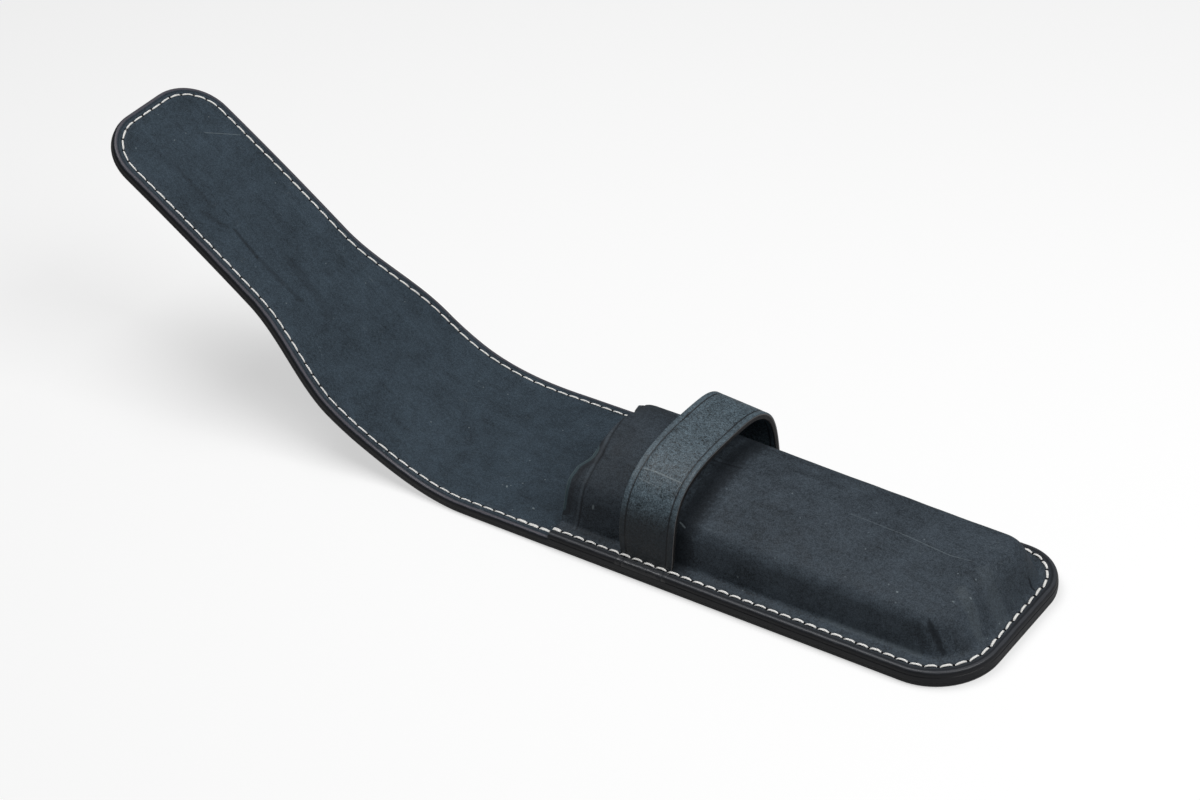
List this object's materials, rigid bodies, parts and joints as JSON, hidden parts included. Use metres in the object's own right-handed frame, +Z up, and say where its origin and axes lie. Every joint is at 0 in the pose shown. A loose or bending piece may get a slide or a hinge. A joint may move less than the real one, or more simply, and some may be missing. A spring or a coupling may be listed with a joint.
{
  "type": "double pen case",
  "caption": "Lined leather case for two pens: a moulded pocket sewn to a long flap that folds over and tucks under a keeper strap.",
  "frame": {"origin": "middle of the case's back under the pocket, on the surface that it lies on", "axes": "+X along the case to the pocket's closed end, +Y across it, +Z up from the table; the open flap runs to -X"},
  "size_m": [0.2976, 0.0612, 0.0835],
  "materials": {
    "outer_leather": "matte waxed",
    "lining_leather": "matte waxed",
    "pocket_leather": "matte waxed",
    "strap_leather": "matte waxed"
  },
  "bodies": {
    "case": {"outer_back": "outer_leather", "lining_back": "lining_leather", "pocket_front": "pocket_leather", "keeper_strap": "strap_leather"},
    "fold_1": {"outer_fold_1": "outer_leather", "lining_fold_1": "lining_leather"},
    "fold_2": {"outer_fold_2": "outer_leather", "lining_fold_2": "lining_leather"},
    "fold_3": {"outer_fold_3": "outer_leather", "lining_fold_3": "lining_leather"},
    "fold_4": {"outer_fold_4": "outer_leather", "lining_fold_4": "lining_leather"},
    "fold_5": {"outer_fold_5": "outer_leather", "lining_fold_5": "lining_leather"},
    "flap": {"outer_flap": "outer_leather", "lining_flap": "lining_leather"}
  },
  "joints": [
    {"name": "flap_fold_1", "type": "hinge", "parent": "case", "child": "fold_1", "pos_m": [-0.0948, 0, 0.0035], "axis": [0, 1, 0], "range_deg": [-4, 23.5]},
    {"name": "flap_fold_2", "type": "hinge", "parent": "fold_1", "child": "fold_2", "pos_m": [-0.1018, 0, 0.0036], "axis": [0, 1, 0], "range_deg": [-4, 23.5]},
    {"name": "flap_fold_3", "type": "hinge", "parent": "fold_2", "child": "fold_3", "pos_m": [-0.10877, 0, 0.00426], "axis": [0, 1, 0], "range_deg": [-4, 23.5]},
    {"name": "flap_fold_4", "type": "hinge", "parent": "fold_3", "child": "fold_4", "pos_m": [-0.11564, 0, 0.00553], "axis": [0, 1, 0], "range_deg": [-4, 23.5]},
    {"name": "flap_fold_5", "type": "hinge", "parent": "fold_4", "child": "fold_5", "pos_m": [-0.12238, 0, 0.00742], "axis": [0, 1, 0], "range_deg": [-4, 23.5]},
    {"name": "flap_fold_6", "type": "hinge", "parent": "fold_5", "child": "flap", "pos_m": [-0.12893, 0, 0.00989], "axis": [0, 1, 0], "range_deg": [-4, 23.5]}
  ]
}
